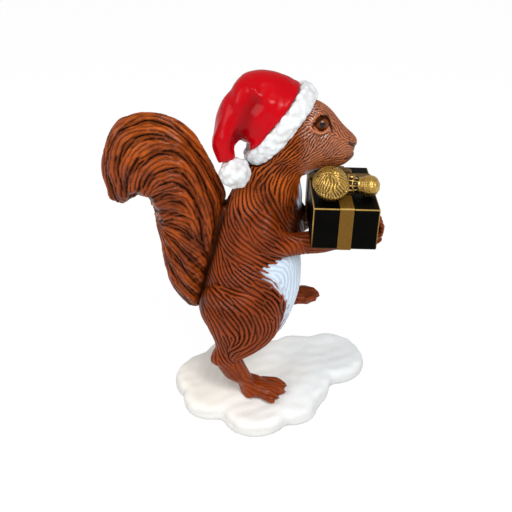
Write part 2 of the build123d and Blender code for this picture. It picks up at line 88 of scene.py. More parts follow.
def addTube(work, stations, sides=16):
    # a closed round form through stations of (x, y, z, radius) in mm
    places = [Vector(station[:3]) * mm for station in stations]
    side = None
    rings = []
    for number, (place, station) in enumerate(zip(places, stations)):
        ahead = (places[min(number + 1, len(places) - 1)] - places[max(number - 1, 0)]).normalized()
        side = ahead.orthogonal() if side is None else side - side.dot(ahead) * ahead
        side.normalize()
        other = ahead.cross(side)
        ring = []
        for count in range(sides):
            turn = 2 * pi * count / sides
            out = cos(turn) * side + sin(turn) * other
            ring.append(work.verts.new(place + out * station[3] * mm))
        rings.append(ring)
    for first, second in zip(rings[:-1], rings[1:]):
        for count in range(sides):
            after = (count + 1) % sides
            work.faces.new((first[count], first[after], second[after], second[count]))
    for end, near, reverse in ((0, 1, True), (-1, -2, False)):
        radius = stations[end][3] * mm
        tip = work.verts.new(places[end] + (places[end] - places[near]).normalized() * radius * 0.8)
        for count in range(sides):
            here, after = rings[end][count], rings[end][(count + 1) % sides]
            work.faces.new((after, here, tip) if reverse else (here, after, tip))


def tubesObject(name, tubes, rounds=2):
    # closed round forms as a piece of their own, rounded off by subdivision
    work = bmesh.new()
    for stations in tubes:
        addTube(work, stations, 12)
    made = meshObject(name, work)
    made.modifiers.new("finer", "SUBSURF").levels = rounds
    return applyModifiers(made)


def applyModifiers(made):
    graph = bpy.context.evaluated_depsgraph_get()
    mesh = bpy.data.meshes.new_from_object(made.evaluated_get(graph))
    made.modifiers.clear()
    old = made.data
    made.data = mesh
    mesh.name = made.name
    bpy.data.meshes.remove(old)
    return made


def melt(made, voxel, rounds):
    # joins what overlaps into one skin of even squares and softens it
    remesh = made.modifiers.new("melt", "REMESH")
    remesh.mode = "VOXEL"
    remesh.voxel_size = voxel
    remesh.use_smooth_shade = True
    soften = made.modifiers.new("soften", "SMOOTH")
    soften.factor = 0.5
    soften.iterations = rounds
    keepOuterSkin(applyModifiers(made).data)


def keepOuterSkin(mesh):
    # drops the walls of closed voids, such as the ends of dowel holes
    edges = readEdges(mesh)
    label = np.arange(len(mesh.vertices))
    before = label - 1
    while (label != before).any():
        before = label.copy()
        lowest = np.minimum(label[edges[:, 0]], label[edges[:, 1]])
        np.minimum.at(label, edges[:, 0], lowest)
        np.minimum.at(label, edges[:, 1], lowest)
        label = label[label]
    values, counts = np.unique(label, return_counts=True)
    if len(values) > 1:
        work = bmesh.new()
        work.from_mesh(mesh)
        work.verts.ensure_lookup_table()
        inner = [work.verts[i] for i in np.nonzero(label != values[counts.argmax()])[0]]
        bmesh.ops.delete(work, geom=inner, context="VERTS")
        work.to_mesh(mesh)
        work.free()


def readNumbers(items, name, width, kind=np.float32):
    flat = np.empty(len(items) * width, kind)
    items.foreach_get(name, flat)
    return flat.reshape(-1, width)


def readShape(mesh):
    return [readNumbers(mesh.vertices, name, 3).astype(float) for name in ("co", "normal")]


def readEdges(mesh):
    return readNumbers(mesh.edges, "vertices", 2, np.int32)


def writePoints(mesh, points):
    mesh.vertices.foreach_set("co", points.astype(np.float32).ravel())
    mesh.update()


def writeMasks(mesh, **masks):
    for name, values in masks.items():
        attribute = mesh.attributes.new(name, "FLOAT", "POINT")
        attribute.data.foreach_set("value", np.clip(values, 0, 1).astype(np.float32))


def finishPiece(piece, material, *replaced):
    mesh = piece.data
    mesh.polygons.foreach_set("use_smooth", np.ones(len(mesh.polygons), bool))
    mesh.materials.clear()
    mesh.materials.append(material)
    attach(piece, "root")
    if replaced:
        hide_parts(*replaced)
    print(piece.name, sum(len(face.vertices) - 2 for face in mesh.polygons), "triangles")


# Shaping by numbers

def step(start, full, values):
    # fades in from 0 at the start to 1 where it is full, which may be the lower of the two
    share = np.clip((values - start) / (full - start), 0, 1)
    return share * share * (3 - 2 * share)


def bell(distance, width):
    return np.exp(-(distance / width) ** 2)


def spread(values, edges, rounds):
    # evens a value out over neighbouring points
    count = len(values)
    near = np.bincount(edges.ravel(), minlength=count).clip(1)
    for _ in range(rounds):
        total = np.bincount(edges[:, 0], weights=values[edges[:, 1]], minlength=count)
        total += np.bincount(edges[:, 1], weights=values[edges[:, 0]], minlength=count)
        values = 0.4 * values + 0.6 * total / near
    return values


def hollows(mesh, rounds, depth):
    # how far each point lies below its surroundings, 1 at the depth given
    (points, normals), edges = readShape(mesh), readEdges(mesh)
    evened = np.stack([spread(points[:, axis], edges, rounds) for axis in range(3)], 1)
    return ((evened - points) * normals).sum(1) / depth


def ripples(points, size, seed, waves=14):
    # soft lumps of about that size, from -1 to 1
    random = np.random.default_rng(seed)
    directions = random.normal(size=(waves, 3))
    directions /= np.linalg.norm(directions, axis=1)[:, None]
    phases = random.uniform(0, 2 * pi, waves)
    lengths = random.uniform(0.7, 1.5, waves) * size
    total = np.zeros(len(points))
    for direction, phase, length in zip(directions, phases, lengths):
        total += np.sin(points @ direction * (2 * pi / length) + phase)
    return np.tanh(total / sqrt(waves) * 1.2)


def varied(points, setting, seed):
    # about the least value of the setting, plus its variation in lumps of its size
    least, variation, size = setting
    return least + variation * ripples(points, size, seed)


def gapToRun(seen, start, end):
    # from each place to the nearest one on a straight run, and the run itself
    along = np.array(end, float) - start
    share = np.clip(((seen - start) @ along) / (along @ along), 0, 1)
    return seen - start - share[:, None] * along, along


def sideLine(points, line):
    # the distance in mm from a line of straight runs, seen from the side
    seen = points[:, [0, 2]] / mm
    runs = zip(line[:-1], line[1:])
    return np.min([np.linalg.norm(gapToRun(seen, start, end)[0], axis=1) for start, end in runs], axis=0)


def flowAlong(points, normals, guides):
    # the direction of the nearest guide lines, laid onto the skin
    seen = points[:, [0, 2]] / mm
    total = np.zeros((len(points), 2))
    for guide in guides:
        for start, end in zip(guide[:-1], guide[1:]):
            gap, along = gapToRun(seen, start, end)
            length = np.linalg.norm(along)
            total += (length / ((gap ** 2).sum(1) + 9.0) ** 2)[:, None] * along / length
    flow = np.stack([total[:, 0], np.zeros(len(points)), total[:, 1]], 1)
    flow /= np.linalg.norm(flow, axis=1)[:, None] + 1e-12
    flow -= (flow * normals).sum(1)[:, None] * normals
    flow += 1e-4 * np.cross(normals, [0, 1, 0])
    return flow / (np.linalg.norm(flow, axis=1)[:, None] + 1e-12)


def pairsWithin(points, reach):
    # every two points nearer than about the reach, in batches
    cell = np.floor(points / reach).astype(np.int64)
    cell -= cell.min(0) - 1
    size = cell.max(0) + 2
    key = (cell[:, 0] * size[1] + cell[:, 1]) * size[2] + cell[:, 2]
    order = np.argsort(key, kind="stable")
    ordered = key[order]
    numbers = np.arange(len(points))
    for dx, dy, dz in np.ndindex(3, 3, 3):
        wanted = key + ((dx - 1) * size[1] + dy - 1) * size[2] + dz - 1
        start = np.searchsorted(ordered, wanted, "left")
        count = np.searchsorted(ordered, wanted, "right") - start
        within = np.arange(count.sum()) - np.repeat(np.cumsum(count) - count, count)
        yield np.repeat(numbers, count), order[np.repeat(start, count) + within]


def strands(points, normals, flow, wave, seed, rounds, length=0.62):
    # ridges and grooves that run with the flow, from -1 to 1, a wave apart, and their length in waves
    count = len(points)
    side = np.cross(normals, flow)
    wave, length = np.broadcast_to(wave, count), np.broadcast_to(length, count)
    firsts, seconds, weights = [], [], []
    for first, second in pairsWithin(points, float(wave.max())):
        gap = points[second] - points[first]
        lengthwise = (gap * flow[first]).sum(1) / wave[first]
        across = (gap * side[first]).sum(1) / wave[first]
        facing = (normals[second] * normals[first]).sum(1)
        kept = (np.abs(lengthwise) < 1.0) & (np.abs(across) < 0.95) & (facing > 0.2)
        lengthwise, across = lengthwise[kept], across[kept]
        span = length[first[kept]]
        weight = np.cos(2 * pi * across) * np.exp(-(across / 0.55) ** 2 - (lengthwise / span) ** 2)
        firsts.append(first[kept].astype(np.int32))
        seconds.append(second[kept].astype(np.int32))
        weights.append(weight.astype(np.float32))
    first, second, weight = np.concatenate(firsts), np.concatenate(seconds), np.concatenate(weights)
    number = np.bincount(first, minlength=count).clip(1)
    mean = np.bincount(first, weights=weight, minlength=count) / number
    weight -= mean[first].astype(np.float32)
    energy = np.sqrt(np.bincount(first, weights=weight ** 2, minlength=count)) + 1e-6
    values = np.random.default_rng(seed).normal(size=count)
    for _ in range(rounds):
        values = np.bincount(first, weights=weight * values[second], minlength=count) / energy
        around = np.bincount(first, weights=(values ** 2)[second], minlength=count) / number
        values = np.tanh(1.3 * values / np.sqrt(around + 1e-9))  # as strong everywhere
    return values


def twoStrands(points, normals, flow, wave, sizes, seeds, length=0.62):
    # main and fine strands together: sizes are the share of each and the fine wave
    mainShare, fineShare, fineWave = sizes
    main = strands(points, normals, flow, wave, seeds[0], 9, length)
    return mainShare * main + fineShare * strands(points, normals, flow, wave * fineWave, seeds[1], 6)


# Materials

def fill(node, sockets):
    # links each of these sockets to another node's output, or sets its value
    for name, value in sockets.items():
        if isinstance(value, bpy.types.NodeSocket):
            node.id_data.links.new(value, node.inputs[name])
        else:
            node.inputs[name].default_value = value
    return node


def addNode(tree, kind, sockets=None, **settings):
    node = tree.nodes.new(kind)
    for name, value in settings.items():
        setattr(node, name, value)
    return fill(node, sockets or {})


def mask(tree, name):
    return addNode(tree, "ShaderNodeAttribute", attribute_name=name).outputs["Fac"]


def mix(share, first, second):
    sockets = {"Factor": share, "A": first, "B": second}
    return addNode(share.id_data, "ShaderNodeMix", sockets, data_type="RGBA").outputs["Result"]


def maths(operation, *values, clamp=False):
    tree = next(value.id_data for value in values if isinstance(value, bpy.types.NodeSocket))
    sockets = dict(enumerate(values))
    return addNode(tree, "ShaderNodeMath", sockets, operation=operation, use_clamp=clamp).outputs[0]


def scaled(value, factor, plus=0.0, clamp=False):
    return maths("MULTIPLY_ADD", value, factor, plus, clamp=clamp)


def fade(value, start, full, low=0.0, high=1.0, kind="LINEAR"):
    sockets = {"Value": value, "From Min": start, "From Max": full, "To Min": low, "To Max": high}
    return addNode(value.id_data, "ShaderNodeMapRange", sockets, interpolation_type=kind).outputs["Result"]


def objectPlace(tree):
    return addNode(tree, "ShaderNodeTexCoord").outputs["Object"]


def axesOf(place):
    return addNode(place.id_data, "ShaderNodeSeparateXYZ", {0: place}).outputs


def newGroup(name, kind, inputs, outputs):
    group = bpy.data.node_groups.new(name, kind)
    for way, sockets in (("INPUT", inputs), ("OUTPUT", outputs)):
        for title, form in sockets.items():
            group.interface.new_socket(title, in_out=way, socket_type="NodeSocket" + form)
    return group, addNode(group, "NodeGroupInput").outputs, addNode(group, "NodeGroupOutput")


def buildMottleGroup():
    # uneven hand painting: a slow cloud between 0 and 1 and a fine height for bumps
    inputs, outputs = {"Cloud size": "Float", "Grain size": "Float"}, {"Cloud": "Float", "Grain": "Float"}
    group, given, leave = newGroup("paintMottle", "ShaderNodeTree", inputs, outputs)
    for name, detail in (("Cloud", 3.0), ("Grain", 2.0)):
        sockets = {"Vector": objectPlace(group), "Scale": given[name + " size"], "Detail": detail}
        fill(leave, {name: addNode(group, "ShaderNodeTexNoise", sockets).outputs["Fac"]})
    return group


mottleGroup = buildMottleGroup()


def newMaterial(name, finish):
    material = bpy.data.materials.new(name)
    material.use_nodes = True
    return material, fill(material.node_tree.nodes["Principled BSDF"], finish)


def paintedMaterial(name, look, paint=None):
    # the look's finish, mottle and bump, in the colour that paint makes of the mottle
    material, shader = newMaterial(name, look["finish"])
    tree = material.node_tree
    sizes = dict(zip(("Cloud size", "Grain size"), look["mottle"]))
    cloud, grain = addNode(tree, "ShaderNodeGroup", sizes, node_tree=mottleGroup).outputs
    base = paint(tree, cloud, grain) if paint else mix(cloud, *look["colours"])
    fill(shader, {"Base Color": base})
    if "bump" in look:
        strength, distance = look["bump"]
        sockets = {"Strength": strength, "Distance": distance, "Height": grain}
        fill(shader, {"Normal": addNode(tree, "ShaderNodeBump", sockets).outputs["Normal"]})
    return material


def rgb(red, green, blue):
    return (red, green, blue, 1.0)


def paintNode(name, material):
    node = nodes[name]
    if not node.material_slots:
        node.data.materials.append(None)
    for slot in node.material_slots:
        slot.link = "OBJECT"
        slot.material = material


furLook = {
    "ridgeHigh": rgb(0.510, 0.100, 0.007),
    "ridgeLow": rgb(0.290, 0.044, 0.003),
    "ridgeDeep": rgb(0.150, 0.024, 0.002),
    "groove": rgb(0.010, 0.0022, 0.0008),
    "shade": rgb(0.030, 0.007, 0.002),
    "face": rgb(0.460, 0.143, 0.056),
    "white": rgb(0.660, 0.770, 0.880),
    "whiteGroove": rgb(0.360, 0.450, 0.580),
    "contrast": (2.4, -0.65),  # of the cloud
    "roughness": (0.3, 0.17),  # spread over the cloud, and the least
    "polish": 0.12,  # how much less rough the face is
    "shine": 0.2,
    "grooveDull": 0.9,
    "faceShine": 0.5,
    # what the export keeps of the shine
    "finish": {"Specular IOR Level": 0.2},  # the shine set on the socket itself, under the linked value
    "mottle": (70.0, 1100.0),  # cloud and grain, waves per metre
    "bump": (0.25, 0.4 * mm),  # strength and distance
}


def furPaint(tree, cloud, grain):
    groove, face = mask(tree, "groove"), mask(tree, "face")
    ridge = mix(mask(tree, "upper"), furLook["ridgeLow"], furLook["ridgeHigh"])
    base = mix(scaled(cloud, *furLook["contrast"], clamp=True), furLook["ridgeDeep"], ridge)
    base = mix(face, base, furLook["face"])
    # painted shade in hollows, behind the box and along the crease
    base = mix(mask(tree, "hollow"), base, furLook["shade"])
    base = mix(groove, base, furLook["groove"])
    pale = mix(groove, furLook["white"], furLook["whiteGroove"])
    rough = maths("SUBTRACT", scaled(cloud, *furLook["roughness"]), scaled(face, furLook["polish"]))
    dull = scaled(groove, -furLook["grooveDull"] * furLook["shine"], furLook["shine"])
    shine = scaled(face, furLook["faceShine"], dull)
    fill(tree.nodes["Principled BSDF"], {"Roughness": rough, "Specular IOR Level": shine})
    return mix(mask(tree, "white"), base, pale)


# Squirrel

squirrel = {
    "voxel": 0.66 * mm * quickCoarser,
    "soften": 8,
    "neck": ((-2.1, 0, 183.8), (0.242, 0, 0.970)),  # plane between the body and head pieces, in mm
    "hips": ((0, 0, 98.0), (0, 0, 1)),  # plane between the body and leg pieces
    "depth": 1.05 * mm,
    "depthVaries": (0.75, 0.25, 22 * mm),
    "wave": (3.1 * mm, 1.9 * mm),  # on the body and the face
    "waveVaries": (1.0, 0.2, 15 * mm),
    "armFiner": 0.2,
    "strand": (0.8, 0.45),  # length in waves on the body and the face
    "sway": (0.12, 0.3, 9 * mm),  # of the flow everywhere, more of it on the face, and its size
    "fine": (0.95, 0.25, 0.62),
    "seeds": (11, 18),
    "guides": [
        [(-40, 126), (-36, 117), (-30, 109), (-20, 105), (-10, 101)],
        [(-34, 142), (-27, 136), (-15, 131), (-5, 125), (2, 124)],
        [(-50, 101), (-46, 95), (-38, 88), (-33, 77)],
        [(-42, 111), (-30, 102), (-20, 91), (-15, 77), (-20, 66), (-28, 60)],
        [(-15, 105), (-5, 95), (0, 82), (-3, 71), (-10, 66), (-24, 58)],
        [(-52, 92), (-46, 82), (-40, 69), (-37, 58)],
        [(-42, 61), (-39, 55), (-31, 42), (-20, 27), (-4, 22)],
        [(15, 212), (6, 203), (-5, 190), (-12, 180)],
        [(-12, 179), (-8, 171), (-1, 159), (8, 148), (24, 141), (60, 141)],
        [(-23, 170), (-21, 161), (-12, 155), (-1, 147)],
        [(-33, 162), (-30, 154), (-21, 145), (-11, 136)],
        [(9, 183), (8, 167), (11, 156), (17, 146)],
        [(36, 194), (23, 194), (11, 188), (6, 176)],
        [(44, 206), (38, 204), (33, 198)],
        [(33, 211), (28, 203), (22, 197), (14, 190)],
        [(27, 211), (22, 205), (16, 198)],
        [(50, 207), (40, 214), (30, 226), (22, 232)],
        [(16, 140), (18, 120), (16, 100), (10, 84), (0, 70)],
        [(0, 84), (15, 77), (32, 76)],
    ],
    "eye": (27.0, 219.6, 5.4, 4.4),  # x, z and half sizes of the opening
    "thigh": (-16, 88),  # its middle
    "socket": -1.7,  # how deep the eye lies
    "faceForms": [("lowerLid", 0.4, 0.8), ("underLid", -0.45, 0.8), ("brow", 0.45, 1.7),
                  ("nostril", -0.5, 0.7), ("noseWing", 0.5, 1.6)],  # height and width in mm
    "lipForms": [("mouth", -0.6, 0.8), ("lipNotch", -1.9, 1.9)],
    "faceDarks": [("upperLid", 1, 0.7), ("mouth", 1, 0.8), ("nostril", 1, 0.9), ("lipNotch", 1, 1.3),
                  ("underLid", 0.6, 0.6)],
    "creaseWidth": 2.8,
    "whiteEdge": [(18.5, 186), (18.0, 181), (15.4, 173), (15.0, 160), (15.0, 146), (11, 132), (1, 126),
                  (-8, 123), (-7, 117), (0, 110), (3, 103), (5, 96), (7, 86), (6, 78), (5, 70), (3, 62)],
    "ragged": (3.2, 1.5, 6 * mm),  # how far strands and ripples move the edge, and the ripples' size
    "smoother": [("head", 0.3), ("paws", 0.85), ("raisedFoot", 0.9), ("eyeSocket", 1.0), ("arm", 0.6),
                 ("muzzle", 0.4)],
    "squeezes": [("hand", "x", 0.62, 64), ("heel", "x", 0.62, -20), ("heel", "y", 0.62, -15),
                 ("foot", "y", 0.7, -13), ("outerToe", "y", 0.8, -24), ("raisedToes", "y", 0.6, 21)],
}

# Lines that the face and the back are shaped by
squirrelLines = {
    "upperLid": [(22.1, 219.7), (25.0, 222.0), (27.2, 223.3), (29.6, 224.3), (31.3, 223.6), (32.8, 220.6),
                 (33.4, 218.2), (34.4, 216.0)],
    "lowerLid": [(21.4, 218.1), (23.4, 216.4), (26.9, 215.0), (30.0, 215.4), (31.6, 217.4)],
    "underLid": [(22.6, 215.2), (26.7, 213.0), (30.6, 213.6)],
    "brow": [(20.5, 222.5), (25.0, 226.2), (30.5, 227.2)],
    "lipNotch": [(52.4, 201.2), (51.6, 197.8)],
    "mouth": [(50.2, 197.6), (47.4, 194.9), (44.6, 194.0)],
    "nostril": [(46.4, 205.4), (49.2, 203.5), (51.4, 202.7)],
    "noseWing": [(48.6, 206.4), (50.0, 205.6)],
    "crease": [(-32.5, 168), (-37.5, 150), (-44, 122), (-49, 104), (-52.5, 88)],
}

# Forms that are melted together with the castings, as (x, y, z, radius)
toes = [
    [(-9, -13.5, 18.6, 4.2), (2, -12.6, 17.8, 3.7), (8.2, -15.8, 15.8, 2.5)],
    [(-8, -17.5, 18.6, 4.2), (1.5, -18.6, 17.3, 3.5), (7.2, -22.2, 15.4, 2.4)],
    [(-9, -21, 17.8, 4.0), (-2, -25, 16.4, 3.3), (2.4, -28.4, 15.0, 2.3)],
    [(-12, -22.5, 17, 3.6), (-6, -27.5, 15.7, 2.9), (-1.2, -30.4, 14.8, 2.2)],
]
squirrelTubes = [
    *[[(65.5, y, 147.5, 2.2), (70.6, y, 150.6, 2.8), (71.4, y, 155.0, 2.8), (67.4, y, 159.5, 2.3)]
      for y in (-25.0, -19.4, -13.8)],  # fingers
    [(-20, -15, 21, 6.0), (-12, -16.5, 19.2, 6.0)],  # instep
    [(-19.5, -17.5, 17.2, 4.2), (-12.5, -22, 16.6, 3.9), (-7, -26, 16, 3.3)],
    *toes,
    *[[(-50.5, y, 94, 2), (-47.5, y, 104, 3.6), (-43, y, 122, 4.8), (-39.5, y, 138, 4.4),
       (-36.4, y, 150, 3.6), (-33.6, y, 159, 2.4)] for y in (-5, 0, 5)],  # between back and tail
    [(14, 21, 72, 7), (23, 21, 74.3, 6.6), (29.5, 21, 74.2, 5.6), (33, 21, 72.8, 3.2)],  # raised foot
    [(9.5, 0, 180, 6.2), (10.4, 1, 168, 7.4), (10.5, 2, 155, 7.8), (11, 2, 140, 9), (11, 0, 126, 8)],  # chest
    [(2, 18, 158, 8), (12, 20, 146, 9), (18.5, 19, 137.5, 8.6), (18, 17, 132.5, 6.5)],  # far arm
]

# Regions of the body in mm: each row fades in from its first place to its second, along one direction
bodyRegions = {
    "head": [("alongNeck", 178, 196)],
    "face": [("alongNeck", 178, 196), ("x", 12, 22)],
    "muzzle": [("alongNeck", 178, 196), ("x", 34, 44)],
    "eyeSocket": [("alongNeck", 178, 196), ("fromEye", 1.6, 1.15)],
    "hand": [("x", 64, 64.01), ("z", 140, 140.01)],
    "heel": [("z", 32, 20), ("x", -13, -27)],
    "foot": [("z", 29, 25), ("x", -14, -8), ("y", -14, -11), ("y", 4, 3.99)],
    "outerToe": [("z", 26, 22), ("x", -14, -9), ("y", -24, -24.01)],
    "raisedToes": [("x", 24, 30), ("z", 90, 89.99), ("y", 8, 8.01)],
    "raisedFoot": [("x", 16, 22), ("z", 88, 80), ("y", 4, 9)],
    # raisedShade and behindBox mark where painted shade goes, on the raised foot and where the box shades the
    # chest
    "raisedShade": [("x", 18, 24), ("z", 88, 80), ("y", 4, 9)],
    "arm": [("x", 4, 16), ("z", 126, 130), ("z", 166, 160)],
    "paws": [("z", 56, 38)],
    "behindBox": [("x", 10, 14), ("z", 122, 130), ("z", 166, 160), ("x", 27, 24), ("y", -12, -11.99)],
    "upper": [("z", 155, 182)],
}
whiteSpan = [("z", 60, 66), ("z", 190, 184)]
brownInFront = [  # what lies before the white edge line and is painted brown; the band from z 126 to 163 takes out the white where the box shades the chest, as painted shade
    [("aside", 24.5, 26.5), ("z", 100, 104)],
    [("fromThigh", 24.01, 24), ("aside", 15.5, 17.5)],
    # painted shade: no white where the box shades the chest
    [("z", 126, 130), ("z", 163, 156)],
    [("y", 14, 17), ("z", 108, 104)],
    [("z", 129, 131), ("z", 160, 158), ("aside", 9, 11), ("x", 6, 9)],
    [("x", 28, 30)],
    [("y", 4, 8), ("x", 11, 14), ("z", 116, 120), ("z", 162, 158)],
    [("aside", 14, 17), ("z", 86, 82), ("x", 16, 20)],
    [("y", 8, 11), ("z", 88, 82)],
]


def placesOf(points):
    # the directions that regions are given in
    x, y, z = (points / mm).T
    eyeX, eyeZ, halfAcross, halfHigh = squirrel["eye"]
    thighX, thighZ = squirrel["thigh"]
    return {"x": x, "y": y, "z": z, "aside": np.abs(y), "alongNeck": z + 0.25 * x,
            "fromEye": np.hypot((x - eyeX) / halfAcross, (z - eyeZ) / halfHigh),
            "fromThigh": np.hypot(x - thighX, z - thighZ)}


def region(places, rows):
    return np.prod([step(start, full, places[direction]) for direction, start, full in rows], axis=0)


def furrows(pattern):
    # how much of a furrow each point lies in, narrower than the ridges between
    return np.clip((0.1 - pattern) / 0.85, 0, 1)


def blend(pair, share):
    return pair[0] * (1 - share) + pair[1] * share


def furPattern(points, normals, head, arm):
    bodySway, faceSway, swaySize = squirrel["sway"]
    flow = flowAlong(points, normals, squirrel["guides"])
    turn = bodySway * ripples(points, swaySize, 50) + faceSway * head * ripples(points, swaySize, 51)
    flow += turn[:, None] * np.cross(normals, flow)
    flow /= np.linalg.norm(flow, axis=1)[:, None] + 1e-9
    wave = blend(squirrel["wave"], head) * varied(points, squirrel["waveVaries"], 60)
    wave *= 1 - squirrel["armFiner"] * arm
    length = blend(squirrel["strand"], head)
    return twoStrands(points, normals, flow, wave, squirrel["fine"], squirrel["seeds"], length)


def alongLines(points, name):
    # soft ridges on lines of the face: each row has its line, height and width
    return sum(height * bell(sideLine(points, squirrelLines[line]), width)
               for line, height, width in squirrel[name])


def faceShape(points, normals, fromEye):
    # lids, brow, nostril and lips: how far each point moves out along its normal
    sideways = step(0.25, 0.6, np.abs(normals[:, 1]))
    forms = squirrel["socket"] * step(1.1, 0.75, fromEye) + alongLines(points, "faceForms")
    return (forms * sideways + alongLines(points, "lipForms")) * mm


def whiteMask(points, pattern):
    # the belly and throat: in front of an edge line, which is ragged where it meets the brown fur
    places = placesOf(points)
    edgeX, edgeZ = np.array(squirrel["whiteEdge"], float)[::-1].T
    byStrands, byRipples, size = squirrel["ragged"]
    ragged = 1 - 0.85 * step(134, 142, places["z"])
    edge = np.interp(places["z"], edgeZ, edgeX)
    edge += ragged * (byStrands * pattern + byRipples * ripples(points, size, 8))
    inside = step(-1.0, 1.0, places["x"] - edge) * region(places, whiteSpan)
    for rows in brownInFront:
        inside *= 1 - region(places, rows)
    return inside


def carveBody(mesh):
    points, normals = readShape(mesh)
    deep = hollows(mesh, 60, 2.2 * mm)
    places = placesOf(points)
    share = {name: region(places, rows) for name, rows in bodyRegions.items()}
    for name, axis, squeeze, towards in squirrel["squeezes"]:
        points[:, "xyz".index(axis)] += share[name] * (1 - squeeze) * (towards - places[axis]) * mm
    pattern = furPattern(points, normals, share["head"], share["arm"])
    white = whiteMask(points, pattern)
    crease = bell(sideLine(points, squirrelLines["crease"]), squirrel["creaseWidth"])
    depth = (1 - crease) * (1 - 0.6 * white) * varied(points, squirrel["depthVaries"], 5)
    for name, smoother in squirrel["smoother"]:
        depth *= 1 - smoother * share[name]
    groove = furrows(pattern)
    offset = -squirrel["depth"] * depth * (groove + 0.12 * (1 - pattern))
    offset += faceShape(points, normals, places["fromEye"])
    writePoints(mesh, points + offset[:, None] * normals)
    dark = groove * np.sqrt(np.clip(depth, 0, 1)) * (1 + 0.5 * share["head"])
    dark += alongLines(points, "faceDarks")
    # painted shade: darker in the skin's hollows, behind the box, along the crease between back and tail, and
    # on the raised foot
    shade = deep + share["behindBox"] + crease + 0.5 * share["raisedShade"]
    writeMasks(mesh, groove=dark, white=white, hollow=shade, face=0.8 * share["face"], upper=share["upper"])


def cutAt(made, name, plane):
    # splits a piece in two at a plane, both closed, and returns the upper one
    point, normal = Vector(plane[0]) * mm, Vector(plane[1])
    upper = newObject(name, made.data.copy())
    for part, side in ((made, False), (upper, True)):
        work = bmesh.new()
        work.from_mesh(part.data)
        geometry = work.verts[:] + work.edges[:] + work.faces[:]
        cut = bmesh.ops.bisect_plane(work, geom=geometry, plane_co=point, plane_no=normal, clear_inner=side,
                                     clear_outer=not side)
        rim = [edge for edge in cut["geom_cut"] if isinstance(edge, bmesh.types.BMEdge)]
        filled = bmesh.ops.holes_fill(work, edges=rim, sides=0)
        bmesh.ops.triangulate(work, faces=filled["faces"])
        for edge in rim:
            if edge.is_valid:
                edge.smooth = False
        work.to_mesh(part.data)
        work.free()
    return upper


tail = {
    "wave": 3.0 * mm,
    "fine": (0.75, 0.4, 0.6),
    "seeds": (12, 14),
    "depth": 0.75 * mm,
    "depthVaries": (0.75, 0.25, 25 * mm),
    "lockWave": 9.0 * mm,
    "lockDepth": 1.5 * mm,
    "lockSeed": 13,
    "lockPoints": 9,  # locks are worked out on every ninth point and spread to the rest
    "tip": [[(-98, 0, 179, 11), (-104, 0, 171, 9.2), (-107.6, 0, 165, 4.8)],
            [(-97, 0, 177, 10), (-100.5, 0, 169, 8.4), (-102, 0, 164, 4.8)]],
    "swell": 0.9 * mm,
    "guides": [
        [(-35, 165), (-44, 187), (-53, 203), (-65, 214), (-77, 219), (-89, 215), (-99, 204), (-104, 188),
         (-103, 166)],
        [(-42, 157), (-48, 181), (-57, 200), (-69, 204), (-80, 201), (-90, 190), (-96, 173)],
        [(-45, 155), (-52, 181), (-60, 194), (-71, 194), (-81, 187), (-86, 175)],
        [(-47, 143), (-50, 166), (-58, 178), (-68, 177), (-76, 172)],
        [(-51, 144), (-54, 156), (-64, 159), (-77, 152)],
        [(-50, 132), (-60, 145), (-70, 149), (-77, 150)],
        [(-54, 120), (-63, 130), (-75, 140), (-78, 143)],
        [(-57, 108), (-66, 120), (-74, 132)],
        [(-60, 91), (-67, 103), (-74, 117), (-76, 124)],
    ],
}


def tailLocks(points, normals, flow, edges):
    sample = np.arange(0, len(points), tail["lockPoints"])
    locks, known = np.zeros(len(points)), np.zeros(len(points))
    some = [values[sample] for values in (points, normals, flow)]
    locks[sample] = strands(*some, tail["lockWave"], tail["lockSeed"], 12)
    known[sample] = 1.0
    return spread(locks, edges, 14) / np.clip(spread(known, edges, 14), 1e-3, None)


def carveTail(mesh):
    points, normals = readShape(mesh)
    deep = hollows(mesh, 50, 3.0 * mm)
    z = points[:, 2] / mm
    flow = flowAlong(points, normals, tail["guides"])
    pattern = twoStrands(points, normals, flow, tail["wave"], tail["fine"], tail["seeds"])
    locks = tailLocks(points, normals, flow, readEdges(mesh))
    crease = bell(sideLine(points, squirrelLines["crease"]), squirrel["creaseWidth"])
    groove = furrows(pattern) * (1 - crease)
    depth = varied(points, tail["depthVaries"], 6)
    offset = tail["swell"] * (1 + step(195, 210, z)) - tail["depth"] * depth * groove
    offset -= tail["lockDepth"] * (0.5 - 0.5 * locks)
    points += offset[:, None] * normals
    points[:, 0] = np.clip(points[:, 0], cadLow[0], None)
    writePoints(mesh, points)
    dark = (0.45 + 0.3 * depth) * groove + 0.6 * furrows(locks)
    # painted shade in the tail's hollows and along the crease with the back
    writeMasks(mesh, groove=dark, hollow=deep + crease, upper=0.35 + 0.65 * step(185, 215, z))


def makeSquirrel(fur):
    castings = ["torso", "standing_leg", "raised_leg", "right_arm", "left_arm", "head"]
    legs = copyOfNodes("squirrel_legs", castings, squirrelTubes)
    melt(legs, squirrel["voxel"], squirrel["soften"])
    carveBody(legs.data)
    head = cutAt(legs, "squirrel_head", squirrel["neck"])
    body = cutAt(legs, "squirrel_body", squirrel["hips"])
    brush = copyOfNodes("squirrel_tail", ["tail"], tail["tip"])
    melt(brush, squirrel["voxel"], squirrel["soften"])
    carveTail(brush.data)
    finishPiece(legs, fur, "standing_leg", "raised_leg")
    finishPiece(body, fur, "torso", "right_arm", "left_arm")
    finishPiece(head, fur, "head")
    finishPiece(brush, fur, "tail")
    return head


fur = paintedMaterial("paintedFur", furLook, furPaint)
headPiece = makeSquirrel(fur)
print("squirrel carved")


# Eyes, lids and claws

